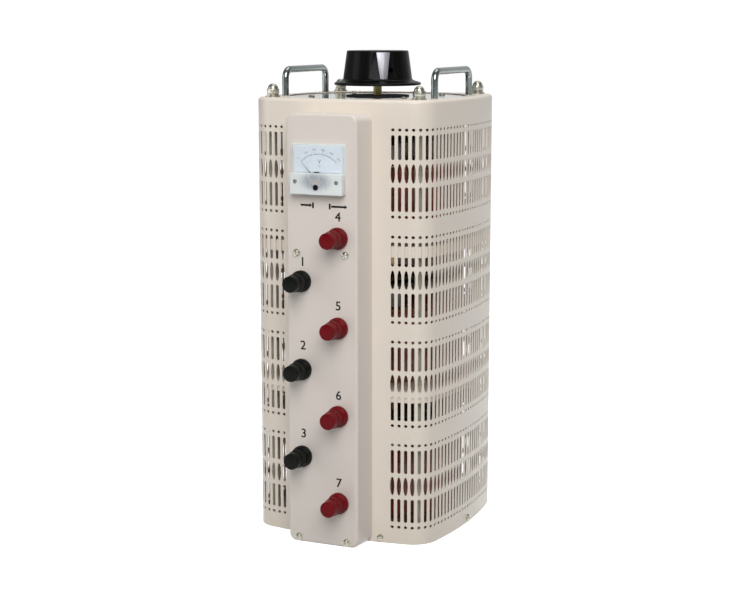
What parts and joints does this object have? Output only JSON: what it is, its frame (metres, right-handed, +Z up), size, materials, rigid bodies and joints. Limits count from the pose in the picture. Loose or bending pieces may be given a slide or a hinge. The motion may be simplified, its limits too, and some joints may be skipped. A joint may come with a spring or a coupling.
{
  "type": "variable autotransformer",
  "caption": "Upright three-phase variable autotransformer: ventilated case, top control knob, carrying handles, and a front cover with a panel meter and binding posts.",
  "frame": {"origin": "on the shaft axis at floor level, at the middle of the lower bearing's underside", "axes": "+Z up along the shaft, -Y to the front with the meter and terminals, +X to the right seen from the front"},
  "size_m": [0.2414, 0.3007, 0.558],
  "materials": {
    "case_enamel": "satin warm off-white enamel",
    "polished_plate": "polished plated steel",
    "tray_zinc": "plated steel sheet",
    "zinc_fasteners": "passivated zinc plate",
    "black_plastic": "glossy black moulding",
    "knob_plastic": "glossy black moulding",
    "red_plastic": "glossy red moulding",
    "pointer_metal": "satin aluminium",
    "bronze": "turned bronze",
    "tube_paint": "pale grey-green paint",
    "laminate": "resin-bonded laminate",
    "core_steel": "wound strip steel",
    "winding_enamel": "dark enamelled copper wire",
    "bare_copper": "ground bare copper",
    "shaft_brass": "dull brass",
    "cast_aluminium": "cast and turned",
    "carbon": "matt carbon",
    "meter_frame": "glossy pale translucent moulding",
    "meter_glass": "clear window",
    "dial_face": "matt white print",
    "needle_black": "black paint",
    "chrome_rod": "bright chrome",
    "lead_insulation": "flexible insulation"
  },
  "bodies": {
    "case": {"base_plate": "tray_zinc", "left_shell": "case_enamel", "right_shell": "case_enamel", "seam_strips": "tray_zinc", "top_plate": "polished_plate", "bearing_cover": "black_plastic", "shaft_bearings": "bronze", "tie_rods": "zinc_fasteners", "spacer_tubes": "tube_paint", "acorn_nuts": "zinc_fasteners", "nut_washers": "zinc_fasteners", "shelves": "tray_zinc", "coil_pads": "laminate", "toroid_cores": "core_steel", "windings": "winding_enamel", "brush_tracks": "bare_copper", "stop_post": "tray_zinc", "collector_fingers": "bronze", "input_collars": "black_plastic", "output_collars": "red_plastic", "terminal_studs": "shaft_brass", "terminal_nuts": "shaft_brass", "meter_case": "meter_frame", "meter_window": "meter_glass", "meter_dial": "dial_face", "meter_movement": "core_steel", "meter_screws": "zinc_fasteners", "carry_handles": "chrome_rod", "handle_nuts": "zinc_fasteners", "terminal_cover": "case_enamel", "cover_posts": "tray_zinc", "cover_screws": "zinc_fasteners", "case_screws": "zinc_fasteners", "wiring_leads": "lead_insulation"},
    "rotor": {"main_shaft": "shaft_brass", "control_knob": "knob_plastic", "knob_pointer": "pointer_metal", "knob_set_screw": "black_plastic", "hub_bushes": "laminate", "brush_arms": "cast_aluminium", "heat_sinks": "cast_aluminium", "carbon_brushes": "carbon", "collector_rings": "bronze", "stop_arm": "cast_aluminium"},
    "input_post_1_clamp": {"input_washer_1": "zinc_fasteners"},
    "input_post_1_cap": {"input_cap_1": "black_plastic"},
    "input_post_2_clamp": {"input_washer_2": "zinc_fasteners"},
    "input_post_2_cap": {"input_cap_2": "black_plastic"},
    "input_post_3_clamp": {"input_washer_3": "zinc_fasteners"},
    "input_post_3_cap": {"input_cap_3": "black_plastic"},
    "output_post_1_clamp": {"output_washer_1": "zinc_fasteners"},
    "output_post_1_cap": {"output_cap_1": "red_plastic"},
    "output_post_2_clamp": {"output_washer_2": "zinc_fasteners"},
    "output_post_2_cap": {"output_cap_2": "red_plastic"},
    "output_post_3_clamp": {"output_washer_3": "zinc_fasteners"},
    "output_post_3_cap": {"output_cap_3": "red_plastic"},
    "output_post_4_clamp": {"output_washer_4": "zinc_fasteners"},
    "output_post_4_cap": {"output_cap_4": "red_plastic"},
    "needle": {"meter_needle": "needle_black"},
    "zero_screw": {"meter_zero_screw": "black_plastic"}
  },
  "joints": [
    {"name": "knob_turn", "type": "hinge", "parent": "case", "child": "rotor", "pos_m": [0, 0, 0.5], "axis": [0, 0, 1], "range_deg": [-320, 0]},
    {"name": "input_post_1_slide", "type": "slide", "parent": "case", "child": "input_post_1_clamp", "axis": [0, -1, 0], "range_m": [0, 0.004]},
    {"name": "input_post_1_turn", "type": "hinge", "parent": "input_post_1_clamp", "child": "input_post_1_cap", "pos_m": [-0.027, -0.16, 0.304], "axis": [0, -1, 0], "range_deg": [0, 1440.5]},
    {"name": "input_post_2_slide", "type": "slide", "parent": "case", "child": "input_post_2_clamp", "axis": [0, -1, 0], "range_m": [0, 0.004]},
    {"name": "input_post_2_turn", "type": "hinge", "parent": "input_post_2_clamp", "child": "input_post_2_cap", "pos_m": [-0.027, -0.16, 0.203], "axis": [0, -1, 0], "range_deg": [0, 1440.5]},
    {"name": "input_post_3_slide", "type": "slide", "parent": "case", "child": "input_post_3_clamp", "axis": [0, -1, 0], "range_m": [0, 0.004]},
    {"name": "input_post_3_turn", "type": "hinge", "parent": "input_post_3_clamp", "child": "input_post_3_cap", "pos_m": [-0.027, -0.16, 0.102], "axis": [0, -1, 0], "range_deg": [0, 1440.5]},
    {"name": "output_post_1_slide", "type": "slide", "parent": "case", "child": "output_post_1_clamp", "axis": [0, -1, 0], "range_m": [0, 0.004]},
    {"name": "output_post_1_turn", "type": "hinge", "parent": "output_post_1_clamp", "child": "output_post_1_cap", "pos_m": [0.0185, -0.16, 0.3545], "axis": [0, -1, 0], "range_deg": [0, 1440.5]},
    {"name": "output_post_2_slide", "type": "slide", "parent": "case", "child": "output_post_2_clamp", "axis": [0, -1, 0], "range_m": [0, 0.004]},
    {"name": "output_post_2_turn", "type": "hinge", "parent": "output_post_2_clamp", "child": "output_post_2_cap", "pos_m": [0.0185, -0.16, 0.2535], "axis": [0, -1, 0], "range_deg": [0, 1440.5]},
    {"name": "output_post_3_slide", "type": "slide", "parent": "case", "child": "output_post_3_clamp", "axis": [0, -1, 0], "range_m": [0, 0.004]},
    {"name": "output_post_3_turn", "type": "hinge", "parent": "output_post_3_clamp", "child": "output_post_3_cap", "pos_m": [0.0185, -0.16, 0.1525], "axis": [0, -1, 0], "range_deg": [0, 1440.5]},
    {"name": "output_post_4_slide", "type": "slide", "parent": "case", "child": "output_post_4_clamp", "axis": [0, -1, 0], "range_m": [0, 0.004]},
    {"name": "output_post_4_turn", "type": "hinge", "parent": "output_post_4_clamp", "child": "output_post_4_cap", "pos_m": [0.0185, -0.16, 0.0515], "axis": [0, -1, 0], "range_deg": [0, 1440.5]},
    {"name": "needle_swing", "type": "hinge", "parent": "case", "child": "needle", "pos_m": [-0.0035, -0.149, 0.4165], "axis": [0, 1, 0], "range_deg": [0, 87.4], "stiffness_Nm_per_rad": 0.00002},
    {"name": "zero_turn", "type": "hinge", "parent": "case", "child": "zero_screw", "pos_m": [-0.0035, -0.16, 0.411], "axis": [0, -1, 0], "range_deg": [-40, 40]}
  ],
  "couplings": [
    {"joint": "input_post_1_turn", "follows": "input_post_1_slide", "rad_per_m": 6283.2},
    {"joint": "input_post_2_turn", "follows": "input_post_2_slide", "rad_per_m": 6283.2},
    {"joint": "input_post_3_turn", "follows": "input_post_3_slide", "rad_per_m": 6283.2},
    {"joint": "output_post_1_turn", "follows": "output_post_1_slide", "rad_per_m": 6283.2},
    {"joint": "output_post_2_turn", "follows": "output_post_2_slide", "rad_per_m": 6283.2},
    {"joint": "output_post_3_turn", "follows": "output_post_3_slide", "rad_per_m": 6283.2},
    {"joint": "output_post_4_turn", "follows": "output_post_4_slide", "rad_per_m": 6283.2}
  ]
}
